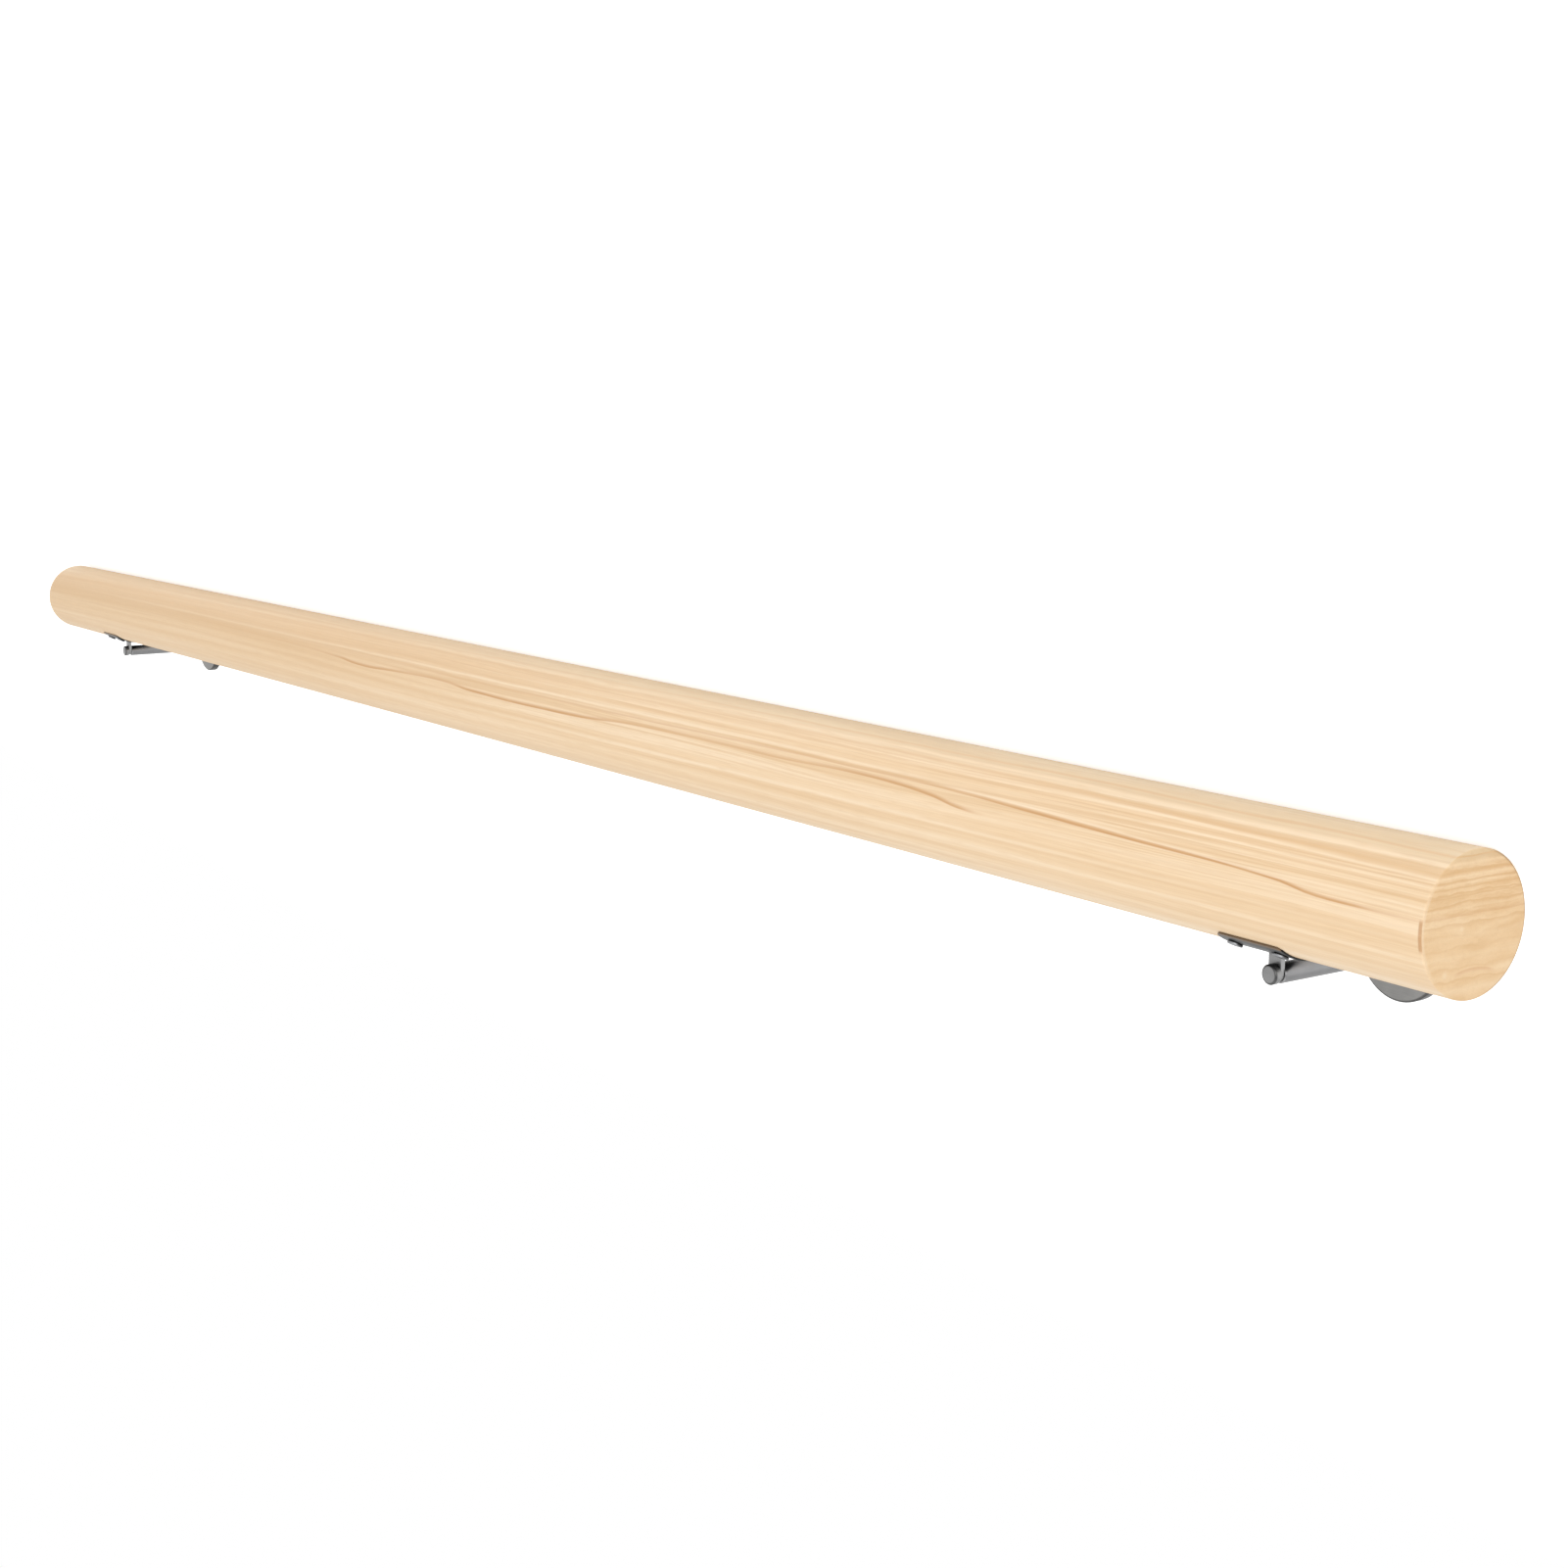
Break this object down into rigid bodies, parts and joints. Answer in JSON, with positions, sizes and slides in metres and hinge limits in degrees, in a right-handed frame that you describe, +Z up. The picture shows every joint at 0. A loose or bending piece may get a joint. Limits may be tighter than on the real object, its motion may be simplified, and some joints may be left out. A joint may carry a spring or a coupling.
{
  "type": "round wooden wall handrail with wall brackets",
  "caption": "Straight round wooden handrail screwed to slim metal wall brackets, each with a curved saddle, a hanging lug, a round arm and a wall rosette.",
  "frame": {"origin": "centre of the footprint, on the floor that the rail rests on", "axes": "+Z up as it rests on the floor, +X along the rail towards its left end as seen when it hangs on its wall, +Y towards the wall rosettes"},
  "size_m": [1.2, 0.0918, 0.0492],
  "materials": {
    "rail_wood": "clear satin varnish over pale straight-grained softwood",
    "bracket_steel": "satin grey",
    "fastener_steel": "satin grey"
  },
  "bodies": {
    "root": {"rail": "rail_wood", "saddle_left": "bracket_steel", "arm_left": "bracket_steel", "arm_bolt_left": "fastener_steel", "rosette_left": "bracket_steel", "saddle_screw_left_1": "fastener_steel", "saddle_screw_left_2": "fastener_steel", "saddle_screw_left_3": "fastener_steel", "saddle_screw_left_4": "fastener_steel", "saddle_right": "bracket_steel", "arm_right": "bracket_steel", "arm_bolt_right": "fastener_steel", "rosette_right": "bracket_steel", "saddle_screw_right_1": "fastener_steel", "saddle_screw_right_2": "fastener_steel", "saddle_screw_right_3": "fastener_steel", "saddle_screw_right_4": "fastener_steel"}
  },
  "joints": []
}
